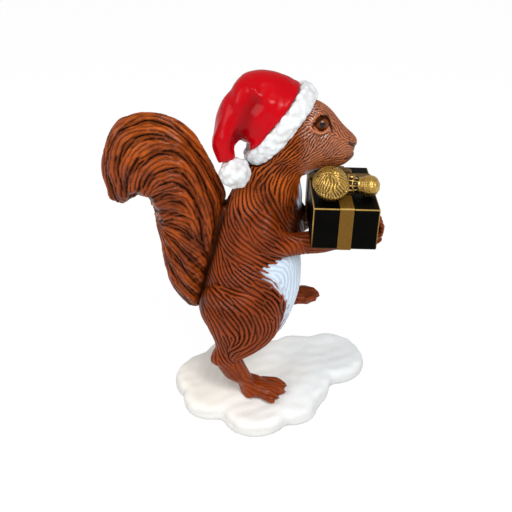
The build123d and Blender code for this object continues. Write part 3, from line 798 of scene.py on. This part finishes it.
eyes = {
    "centre": (27.3, 9.5, 219.4),  # in mm, on each side
    "half": (5.3, 4.0, 4.4),
    "pupil": (28.0 * mm, 219.9 * mm),
    "pupilRadius": 1.9 * mm,
    "pupilEdge": (0.8, 1.2),  # of the radius
    "black": rgb(0.012, 0.005, 0.005),
    "iris": (rgb(0.060, 0.014, 0.002), rgb(0.19, 0.045, 0.004)),
    "finish": {"Roughness": 0.14, "Specular IOR Level": 0.3},
    "mottle": (260.0, 1500.0),
}

lids = {
    "lift": 0.35,  # above the skin, in mm
    "near": 1.2,  # how near the skin's points are looked at
    "upperLid": [0.4, 0.8, 1.0, 1.0, 0.85, 0.65, 0.5, 0.25],  # thickness along each line
    "lowerLid": [0.4, 0.75, 0.95, 0.8, 0.4],
}

claws = {
    "turns": [-25, -28, -38, -35],  # of each toe's claw
    "stations": [(-0.9, 1.5, 0.6), (0.4, 1.6, 0.75), (1.4, 1.0, 0.65), (1.9, 0.4, 0.4)],  # ahead, up, radius
    "colours": (rgb(0.11, 0.04, 0.022), rgb(0.30, 0.17, 0.13)),
    "finish": {"Roughness": 0.25},
    "mottle": (300.0, 2000.0),
}


def eyePaint(tree, cloud, grain):
    axes = axesOf(objectPlace(tree))
    squares = [maths("POWER", maths("SUBTRACT", axes[axis], middle), 2.0)
               for axis, middle in zip("XZ", eyes["pupil"])]
    apart = maths("SQRT", maths("ADD", *squares))
    start, full = [eyes["pupilRadius"] * share for share in eyes["pupilEdge"]]
    iris = mix(cloud, *eyes["iris"])
    return mix(fade(apart, start, full, kind="SMOOTHSTEP"), eyes["black"], iris)


def makeEye(name, side):
    work = bmesh.new()
    bmesh.ops.create_uvsphere(work, u_segments=48, v_segments=32, radius=mm)
    for vertex in work.verts:
        vertex.co = Vector([c * h + p * mm for c, h, p in zip(vertex.co, eyes["half"], eyes["centre"])])
        vertex.co.y *= side
    bmesh.ops.recalc_face_normals(work, faces=work.faces)
    return meshObject(name, work)


def lidTube(skin, name, side):
    # lies on the skin of the cheek and on the eyeball
    (x0, y0, z0), (halfX, halfY, halfZ) = eyes["centre"], eyes["half"]
    stations = []
    for (x, z), radius in zip(squirrelLines[name], lids[name]):
        near = skin[(np.hypot(skin[:, 0] - x, skin[:, 2] - z) < lids["near"]) & (skin[:, 1] * side > 0)]
        ball = y0 + halfY * sqrt(max(1 - ((x - x0) / halfX) ** 2 - ((z - z0) / halfZ) ** 2, 0))
        stations.append((x, side * (max(np.abs(near[:, 1]).max(), ball) + lids["lift"]), z, radius))
    return stations


def makeLids():
    skin = readShape(headPiece.data)[0] / mm
    tubes = [lidTube(skin, name, side) for side in (-1, 1) for name in ("upperLid", "lowerLid")]
    made = tubesObject("eye_lids", tubes)
    lower = (sideLine(readShape(made.data)[0], squirrelLines["lowerLid"]) < 1.0).astype(float)
    writeMasks(made.data, groove=0.9 * (1 - lower), face=lower)
    return made


def makeClaws():
    tubes = []
    for toe, turn in zip(toes, claws["turns"]):
        x, y, z = toe[-1][:3]
        ahead, aside = cos(radians(turn)), sin(radians(turn))
        tubes.append([(x + reach * ahead, y + reach * aside, z + rise, radius)
                      for reach, rise, radius in claws["stations"]])
    return tubesObject("toe_claws", tubes, 1)


finishPiece(makeLids(), fur)
finishPiece(makeClaws(), paintedMaterial("horn", claws))
glossy = paintedMaterial("paintedEye", eyes, eyePaint)
for name, side in (("right_eye", -1), ("left_eye", 1)):
    finishPiece(makeEye("painted_" + name, side), glossy, name)
print("eyes, lids and claws done")


# Hat

hat = {
    "voxel": 0.8 * mm,
    "soften": 14,
    "fold": [(-2, 0, 230, 16.5), (-14, -2, 232.0, 17.8), (-22.8, -5, 224, 13.0), (-30.2, -9, 215.2, 9.1),
             (-33.3, -12, 206.9, 7.4), (-31.6, -13.6, 197.8, 6.1)],
    "corner": [(-7, -8, 214, 10), (-12.5, -10, 207.5, 8)],  # low at the back, above the brim
    "valley": [(-24.0, 207), (-23, 213), (-20.5, 222), (-18, 230), (-14, 236)],
    "valleyForm": (2.6, 4.6),  # depth and width
    "ridges": [[(-15, 243), (-11, 240), (-6, 236)], [(-2, 235.5), (-5, 230.5)], [(3, 233), (0, 228)],
               [(-32, 212), (-32, 203)]],
    "ridgeForm": (0.8, 2.6),  # height and width
    "lumps": (0.38, 13 * mm),  # height in mm, and their size
    "tuck": (3.0, 0.9),  # how near the wool the red reaches under it, and how far
    "red": rgb(0.520, 0.0, 0.005),
    "deepRed": rgb(0.250, 0.0, 0.002),
    "cloudShare": 0.4,
    "finish": {"Roughness": 0.24, "Specular IOR Level": 0.12},
    "mottle": (35.0, 500.0),
    "bump": (0.12, 0.5 * mm),
}

wool = {
    "voxel": 0.65 * mm,
    "nubs": {"Nub size": 4.4 * mm, "Nub depth": 1.9 * mm},
    "ballShift": (1.1 * mm, 0, -0.8 * mm),
    "ballSize": 1.04,
    "cream": rgb(0.820, 0.730, 0.610),
    "coolWhite": rgb(0.790, 0.840, 0.890),
    "shade": rgb(0.420, 0.360, 0.290),
    "shadeShare": 0.75,
    "coolFrom": (0.165, 0.235),  # x plus z, in metres
    "cloudSpread": (0.8, 0.5),
    "finish": {"Roughness": 0.7, "Specular IOR Level": 0.25},
    "mottle": (90.0, 900.0),
    "bump": (0.3, 0.5 * mm),
}


def hatPaint(tree, cloud, grain):
    # painted shade in the fold's valley, and a deeper red at random from the cloud
    base = mix(mask(tree, "hollow"), hat["red"], hat["deepRed"])
    return mix(scaled(cloud, hat["cloudShare"]), base, hat["deepRed"])


def woolPaint(tree, cloud, grain):
    # cream low on the left, cooler towards the right: painted light, warm from the left and cool from the
    # right; painted shade in the hollows between nubs
    axes = axesOf(objectPlace(tree))
    side = fade(maths("ADD", axes["X"], axes["Z"]), *wool["coolFrom"])
    share = maths("ADD", side, scaled(cloud, *wool["cloudSpread"]), clamp=True)
    base = mix(share, wool["cream"], wool["coolWhite"])
    return mix(scaled(mask(tree, "hollow"), wool["shadeShare"]), base, wool["shade"])


def buildNubsTree():
    # soft nubs pressed into a skin, and how deep each point lies stored as a mask for painted shade in the
    # hollows between nubs
    inputs = {"Geometry": "Geometry", "Nub size": "Float", "Nub depth": "Float", "Seed": "Float",
              "Material": "Material"}
    tree, given, leave = newGroup("woolNubs", "GeometryNodeTree", inputs, {"Geometry": "Geometry"})
    place, normal = [addNode(tree, "GeometryNodeInput" + kind).outputs[0] for kind in ("Position", "Normal")]
    scale = maths("DIVIDE", 1.0, given["Nub size"])
    sockets = {"Vector": place, "W": given["Seed"], "Scale": scale, "Smoothness": 0.45}
    cells = addNode(tree, "ShaderNodeTexVoronoi", sockets, voronoi_dimensions="4D", feature="SMOOTH_F1")
    depth = maths("POWER", cells.outputs["Distance"], 1.6, clamp=True)
    sockets = {"Geometry": given["Geometry"], "Name": "hollow", "Value": depth}
    store = addNode(tree, "GeometryNodeStoreNamedAttribute", sockets, data_type="FLOAT", domain="POINT")
    inward = scaled(maths("MULTIPLY", depth, given["Nub depth"]), -1.0)
    push = addNode(tree, "ShaderNodeVectorMath", {0: normal, "Scale": inward}, operation="SCALE")
    move = addNode(tree, "GeometryNodeSetPosition", {"Geometry": store.outputs[0], "Offset": push.outputs[0]})
    real = addNode(tree, "GeometryNodeRealizeInstances", {0: move.outputs[0]})
    sockets = {"Geometry": real.outputs[0], "Material": given["Material"]}
    fill(leave, {"Geometry": addNode(tree, "GeometryNodeSetMaterial", sockets).outputs[0]})
    return tree


def addNubs(made, tree, values):
    nubs = made.modifiers.new("nubs", "NODES")
    nubs.node_group = tree
    for item in tree.interface.items_tree:
        if item.item_type == "SOCKET" and item.in_out == "INPUT" and item.name in values:
            nubs[item.identifier] = values[item.name]
    applyModifiers(made)


def gapsToWool(points):
    # the distance in mm from the brim's points
    brim = nodes["hat_brim"].data.vertices
    places = KDTree(len(brim))
    for number, vertex in enumerate(brim):
        places.insert(vertex.co, number)
    places.balance()
    return np.array([places.find(point)[2] for point in points]) / mm


def makeCrown():
    crown = copyOfNodes("hat_red", ["hat_crown"], [hat["fold"], hat["corner"]])
    melt(crown, hat["voxel"], hat["soften"])
    points, normals = readShape(crown.data)
    near = step(0.0, 0.5, -normals[:, 1])
    (depth, width), (height, narrow), (lump, size) = hat["valleyForm"], hat["ridgeForm"], hat["lumps"]
    valley = bell(sideLine(points, hat["valley"]), width) * near
    ridges = sum(bell(sideLine(points, line), narrow) for line in hat["ridges"]) * near
    offset = height * ridges - depth * valley + lump * (ripples(points, size, 21) - 1)
    offset *= 0.3 + 0.7 * step(249, 244, points[:, 2] / mm)  # the top keeps its height
    tuck, lift = hat["tuck"]
    tucked = bell(gapsToWool(points), tuck)
    offset = offset * (1 - tucked) + lift * tucked
    writePoints(crown.data, points + (offset * mm)[:, None] * normals)
    # painted shade in the fold's valley
    writeMasks(crown.data, hollow=0.9 * valley)
    return crown


def makeHat():
    finishPiece(makeCrown(), paintedMaterial("redGloss", hat, hatPaint), "hat_crown")
    brim, ball = copyOfNodes("hat_wool_brim", ["hat_brim"]), copyOfNodes("hat_wool_ball", ["pompom"])
    points = readShape(ball.data)[0]
    middle = points.mean(0)
    writePoints(ball.data, middle + np.array(wool["ballShift"]) + (points - middle) * wool["ballSize"])
    paint, nubs = paintedMaterial("paintedWool", wool, woolPaint), buildNubsTree()
    for piece, seed, node in ((brim, 3.0, "hat_brim"), (ball, 8.0, "pompom")):
        melt(piece, wool["voxel"], 3)
        addNubs(piece, nubs, {**wool["nubs"], "Seed": seed, "Material": paint})
        finishPiece(piece, paint, node)


makeHat()
print("hat done")


# Gift

gift = {
    "place": (43.0 * mm, -2.5 * mm, 144.7 * mm),  # middle of the underside
    "pitch": 1.6,
    "half": (21.0 * mm, 33.5 * mm, 14.25 * mm),
    "black": rgb(0.0004, 0.0004, 0.0003),
    "worn": rgb(0.0026, 0.0024, 0.0015),
    "edge": rgb(0.520, 0.320, 0.085),
    "edgeStart": 0.25 * mm,
    "edgeWidth": 0.95 * mm,
    "rub": (-1.1, 1.45),  # how the cloud breaks the worn edge
    "lowEdges": (-14 * mm, 4 * mm, 0.12),  # the gold edges fade low down, to this share
    "finish": {"Roughness": 0.38, "Specular IOR Level": 0.03},
    "mottle": (120.0, 900.0),
    "bump": (0.35, 0.6 * mm),
}

ribbon = {
    "half": (21.8 * mm, 34.3 * mm, 15.05 * mm),
    "gold": rgb(0.220, 0.112, 0.014),
    "shade": rgb(0.095, 0.044, 0.005),
    "edgeWidth": 1.3 * mm,
    "speckle": (1.6, -0.35),
    "finish": {"Roughness": 0.45, "Metallic": 0.2, "Specular IOR Level": 0.15},
    "mottle": (260.0, 1600.0),
    "bump": (0.3, 0.4 * mm),
}


def buildEdgeGroup():
    # how near a point of a box's faces lies to the box's edges, 1 at the edge itself
    inputs, outputs = {"Half size": "Vector", "Width": "Float"}, {"Edge": "Float", "Place": "Vector"}
    group, given, leave = newGroup("boxEdges", "ShaderNodeTree", inputs, outputs)

    def vectorMath(operation, *values):
        return addNode(group, "ShaderNodeVectorMath", dict(enumerate(values)), operation=operation).outputs[0]

    turn = (0, radians(gift["pitch"]), 0)
    sockets = {"Vector": objectPlace(group), "Location": gift["place"], "Rotation": turn}
    local = addNode(group, "ShaderNodeMapping", sockets, vector_type="TEXTURE").outputs[0]
    centred = vectorMath("SUBTRACT", local, (0, 0, gift["half"][2]))
    axes = axesOf(vectorMath("SUBTRACT", given["Half size"], vectorMath("ABSOLUTE", centred)))
    near = [fade(axes[axis], gift["edgeStart"], given["Width"], 1.0, 0.0, "SMOOTHSTEP") for axis in "XYZ"]
    total = maths("ADD", maths("ADD", near[0], near[1]), near[2])
    fill(leave, {"Edge": maths("SUBTRACT", total, 1.0, clamp=True), "Place": centred})
    return group


edgeGroup = buildEdgeGroup()


def edgeMask(tree, look):
    sizes = {"Half size": look["half"], "Width": look["edgeWidth"]}
    return addNode(tree, "ShaderNodeGroup", sizes, node_tree=edgeGroup).outputs


def boxPaint(tree, cloud, grain):
    edges = edgeMask(tree, gift)
    worn = maths("MULTIPLY", edges["Edge"], scaled(cloud, *gift["rub"], clamp=True), clamp=True)
    worn = maths("MULTIPLY", worn, fade(axesOf(edges["Place"])["Z"], *gift["lowEdges"]), clamp=True)
    return mix(worn, mix(cloud, gift["black"], gift["worn"]), gift["edge"])


def ribbonPaint(tree, cloud, grain):
    base = mix(scaled(grain, *ribbon["speckle"], clamp=True), ribbon["shade"], ribbon["gold"])
    return mix(edgeMask(tree, ribbon)["Edge"], base, gift["edge"])


paintNode("gift_box", paintedMaterial("blackBox", gift, boxPaint))
goldRibbon = paintedMaterial("goldRibbon", ribbon, ribbonPaint)
for name in ("gift_ribbon", "ribbon_bow"):
    paintNode(name, goldRibbon)
print("gift painted")


# Nuts

nuts = {
    "voxel": 0.36 * mm * quickCoarser,
    "gold": rgb(0.700, 0.420, 0.085),
    "olive": rgb(0.330, 0.200, 0.040),
    "recess": rgb(0.012, 0.007, 0.004),
    "finish": {"Metallic": 0.55, "Roughness": 0.27},
    "mottle": (160.0, 1400.0),
    "bump": (0.2, 0.3 * mm),
}

walnut = {
    "centre": (33.4, -18.0, 183.6),
    "lean": 14.0,
    "stretch": 1.35,  # along Y, towards the lid's front edge
    "shift": -2.5,
    "wrinkle": 2.0 * mm,
    "wander": (0.7, 8 * mm),  # of the wrinkles, and its size
    "depth": 0.85 * mm,
    "seams": [(-2.6, 1.0), (2.6, 0.3)],  # height in mm and strength
    "seamWidth": 0.55,
    "seamDepth": 0.5 * mm,
    "belt": (1.6, 0.7),  # half width in mm, and how much smoother it is
    "darkBelow": (-1.5, -3.5),
    "seed": 31,
}

peanut = {
    "start": (38.5, -12.5, 180.0),
    "turn": -9.0,
    "cell": 3.7,
    "cellsAround": 5.5,
    "wall": (0.3, 0.6),  # where a cell's wall ends and its floor begins
    "depth": 0.9 * mm,
    "farHalf": (15.0, 12.5, 0.22),  # it has shallower cells
    "waist": (13.4, 1.4, 0.7),  # place, half width and darkness
    "darkBelow": (-1.0, -3.5),
}


def nutPaint(tree, cloud, grain):
    base = mix(cloud, nuts["olive"], nuts["gold"])
    # near black in the recesses, and painted shade on the undersides
    return mix(mask(tree, "groove"), base, nuts["recess"])


def makeWalnut():
    made = copyOfNodes("walnut_shell", ["walnut"])
    melt(made, nuts["voxel"], 4)
    points = readShape(made.data)[0]
    middle = walnut["centre"][1] * mm
    points[:, 1] = middle + walnut["shift"] * mm + (points[:, 1] - middle) * walnut["stretch"]
    writePoints(made.data, points)
    normals = readShape(made.data)[1]
    lean = radians(walnut["lean"])
    axis = np.array([0, -sin(lean), cos(lean)])
    wander, size = walnut["wander"]
    flow = axis - (normals @ axis)[:, None] * normals
    flow += wander * np.cross(normals, axis) * ripples(points, size, 33)[:, None]
    flow /= np.linalg.norm(flow, axis=1)[:, None] + 1e-9
    pattern = strands(points, normals, flow, walnut["wrinkle"], walnut["seed"], 10)
    height = (points / mm - walnut["centre"]) @ axis
    seam = sum(strength * bell(height - place, walnut["seamWidth"]) for place, strength in walnut["seams"])
    belt, smoother = walnut["belt"]
    groove = np.clip((0.15 - pattern) / 1.1, 0, 1) ** 1.4 * (1 - bell(height, belt) * smoother)
    depth = walnut["depth"] * groove + walnut["seamDepth"] * seam
    writePoints(made.data, points - depth[:, None] * normals)
    # the groove mask also darkens the lower part: painted shade
    writeMasks(made.data, groove=groove * 0.8 + seam + 0.55 * step(*walnut["darkBelow"], height))
    return made


def makePeanut():
    made = copyOfNodes("peanut_shell", ["peanut"])
    melt(made, nuts["voxel"], 3)
    points, normals = readShape(made.data)
    turn = radians(peanut["turn"])
    x, y, z = (points / mm - peanut["start"]).T
    along = x * cos(turn) + y * sin(turn)
    around = np.arctan2(z, y * cos(turn) - x * sin(turn))
    lengthways = np.abs(np.sin(pi * (along + 0.5 * np.sin(around * 3)) / peanut["cell"]))
    ringways = np.abs(np.sin(around * peanut["cellsAround"]))
    deep = step(*peanut["wall"], lengthways) * step(*peanut["wall"], ringways)
    farEnd, nearEnd, shallow = peanut["farHalf"]
    near = step(farEnd, nearEnd, along)
    depth = peanut["depth"] * deep * (near + (1 - near) * shallow)
    writePoints(made.data, points - depth[:, None] * normals)
    waist, width, dark = peanut["waist"]
    # the groove mask also darkens the underside: painted shade
    under = step(*peanut["darkBelow"], z)
    writeMasks(made.data, groove=(1.4 * near + 0.25) * deep + dark * bell(along - waist, width) + 0.6 * under)
    return made


antiqueGold = paintedMaterial("antiqueGold", nuts, nutPaint)
finishPiece(makeWalnut(), antiqueGold, "walnut")
finishPiece(makePeanut(), antiqueGold, "peanut")
print("nuts done")


# Snow

snow = {
    "voxel": 1.2 * mm,
    "soften": 40,
    "lumps": (1.1 * mm, 34 * mm),  # height and size
    "dimples": (0.3 * mm, 10 * mm),
    "warm": rgb(0.930, 0.885, 0.810),
    "cool": rgb(0.880, 0.910, 0.925),
    "rim": rgb(0.700, 0.700, 0.690),
    "coolFrom": (-60 * mm, 50 * mm),
    "cloudSpread": (0.9, -0.45),
    "rimShadeFrom": (12 * mm, 4 * mm, 0.0, 0.75),  # greyer low down: painted shade near the floor
    "finish": {"Roughness": 0.62, "Specular IOR Level": 0.3},
    "mottle": (30.0, 700.0),
    "bump": (0.15, 0.5 * mm),
}


def snowPaint(tree, cloud, grain):
    axes = axesOf(objectPlace(tree))
    # painted light: warm on the left, cool towards the right
    cool = fade(axes["X"], *snow["coolFrom"])
    share = maths("ADD", cool, scaled(cloud, *snow["cloudSpread"]), clamp=True)
    # greyer low down, painted shade near the floor
    low = fade(axes["Z"], *snow["rimShadeFrom"], "SMOOTHSTEP")
    return mix(low, mix(share, snow["warm"], snow["cool"]), snow["rim"])


def makeSnow():
    made = copyOfNodes("snow_lumps", ["snow_base"])
    melt(made, snow["voxel"], snow["soften"])
    points, normals = readShape(made.data)
    (lumpHeight, lumpSize), (dimpleHeight, dimpleSize) = snow["lumps"], snow["dimples"]
    offset = lumpHeight * (ripples(points, lumpSize, 41) - 0.8)
    offset += dimpleHeight * ripples(points, dimpleSize, 42)
    points += (offset * step(1.0, 5.0, points[:, 2] / mm))[:, None] * normals
    points[normals[:, 2] < -0.5, 2] = 0  # a flat underside
    points[:, 2] = np.clip(points[:, 2], 0, None)
    writePoints(made.data, points)
    return made


finishPiece(makeSnow(), paintedMaterial("paintedSnow", snow, snowPaint), "snow_base")
print("snow done")


# Rod and dowels, which stay hidden inside the castings

pegs = {
    "pegSteel": {
        "nodes": ["leg_rod", "rod_washer", "rod_nut"],
        "colours": (rgb(0.35, 0.36, 0.37), rgb(0.55, 0.56, 0.57)),
        "finish": {"Metallic": 1.0, "Roughness": 0.35},
        "mottle": (150.0, 2500.0),
        "bump": (0.2, 0.2 * mm),
    },
    "pegWood": {
        "nodes": ["neck_dowel", "tail_dowels", "arm_dowels", "hip_dowel", "hat_dowel", "pompom_pin",
                  "gift_pins", "nut_pins"],
        "colours": (rgb(0.36, 0.20, 0.09), rgb(0.55, 0.34, 0.17)),
        "finish": {"Roughness": 0.7},
        "mottle": (200.0, 1500.0),
    },
}

for kind, look in pegs.items():
    material = paintedMaterial(kind, look)
    for name in look["nodes"]:
        paintNode(name, material)


# Floor, light and camera

studio = {
    "floorHalf": 3.0,
    "floorHeight": -0.2 * mm,
    "glow": 1.06,
    "glowShare": 0.88,
    "world": 0.45,
    "aim": (-0.02, 0.0, 0.13),
    "lamps": {"keyLamp": ((0.24, -0.62, 0.80), 0.42, 6.2),  # place, size and energy
              "fillLamp": ((-0.62, -0.35, 0.55), 0.5, 2.2)},
    "cameraPlace": (-0.013, -0.4538, 0.381),
    "tilt": 60.0,
    "lens": 52.73,
    "floor": {"Base Color": rgb(0.9, 0.9, 0.9), "Roughness": 0.9},
}


def seenRays(tree, other):
    # 1 where the camera looks straight at it, or by way of the other kind of ray
    light = addNode(tree, "ShaderNodeLightPath").outputs
    return maths("ADD", light["Is Camera Ray"], light[other], clamp=True)


def makeFloor():
    half, height = studio["floorHalf"], studio["floorHeight"]
    floor = bpy.data.meshes.new("floor")
    corners = [(-half, -half, height), (half, -half, height), (half, half, height), (-half, half, height)]
    floor.from_pydata(corners, [], [(0, 1, 2, 3)])
    material, shader = newMaterial("paleFloor", studio["floor"])
    tree = material.node_tree
    share = scaled(seenRays(tree, "Is Glossy Ray"), studio["glowShare"])
    glow = addNode(tree, "ShaderNodeEmission", {"Strength": studio["glow"]})
    both = addNode(tree, "ShaderNodeMixShader", {0: share, 1: shader.outputs[0], 2: glow.outputs[0]})
    fill(tree.nodes["Material Output"], {"Surface": both.outputs[0]})
    floor.materials.append(material)
    newObject("floor", floor)


def makeWorld():
    world = bpy.data.worlds.new("studio")
    bpy.context.scene.world = world
    world.use_nodes = True
    tree = world.node_tree
    strength = scaled(seenRays(tree, "Is Transmission Ray"), 1.0 - studio["world"], studio["world"])
    fill(tree.nodes["Background"], {"Color": rgb(1, 1, 1), "Strength": strength})


def makeLamps():
    for name, (place, size, energy) in studio["lamps"].items():
        lamp = bpy.data.lights.new(name, "AREA")
        lamp.shape = "DISK"
        lamp.size = size
        lamp.energy = energy
        holder = newObject(name, lamp)
        holder.location = place
        holder.rotation_euler = (Vector(studio["aim"]) - Vector(place)).to_track_quat("-Z", "Y").to_euler()


def makeCamera():
    camera = bpy.data.cameras.new("camera")
    camera.lens = studio["lens"]
    camera.sensor_width = 36.0
    holder = newObject("camera", camera)
    holder.location = studio["cameraPlace"]
    holder.rotation_euler = (radians(studio["tilt"]), 0, 0)
    bpy.context.scene.camera = holder


makeFloor()
makeWorld()
makeLamps()
makeCamera()
bpy.context.scene.view_settings.view_transform = "Standard"
print("stage set")
